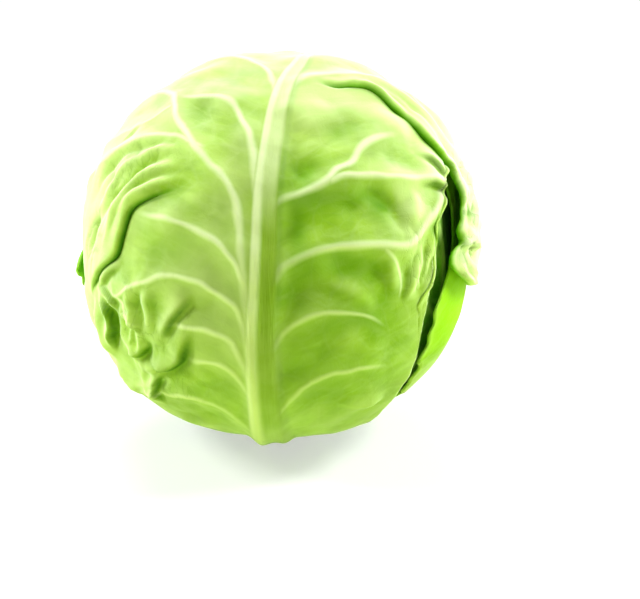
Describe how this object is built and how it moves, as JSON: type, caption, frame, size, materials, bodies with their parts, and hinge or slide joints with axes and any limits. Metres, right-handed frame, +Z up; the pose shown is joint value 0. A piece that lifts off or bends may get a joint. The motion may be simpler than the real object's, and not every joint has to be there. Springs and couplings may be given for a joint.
{
  "type": "cabbage head",
  "caption": "Round ball-head cabbage with veined wrapper leaves, a split and curled front leaf, and a short trimmed stem that it stands on.",
  "frame": {"origin": "centre of the trimmed stem's flat cut face", "axes": "+Z up from the stem to the crown of the head, -Y towards the front leaf's midrib, millimetre source and metre record"},
  "size_m": [0.1869, 0.1783, 0.1771],
  "materials": {
    "stem": "fresh cut, matte",
    "inner_head": "fresh leaf, satin",
    "leaf_outer": "waxy leaf, satin",
    "leaf_inner": "waxy leaf, satin"
  },
  "bodies": {
    "root": {"stem": "stem", "inner_head": "inner_head", "leaf_1": "leaf_outer", "leaf_2": "leaf_outer", "leaf_3": "leaf_inner", "leaf_4": "leaf_inner", "leaf_5": "leaf_inner"}
  },
  "joints": []
}
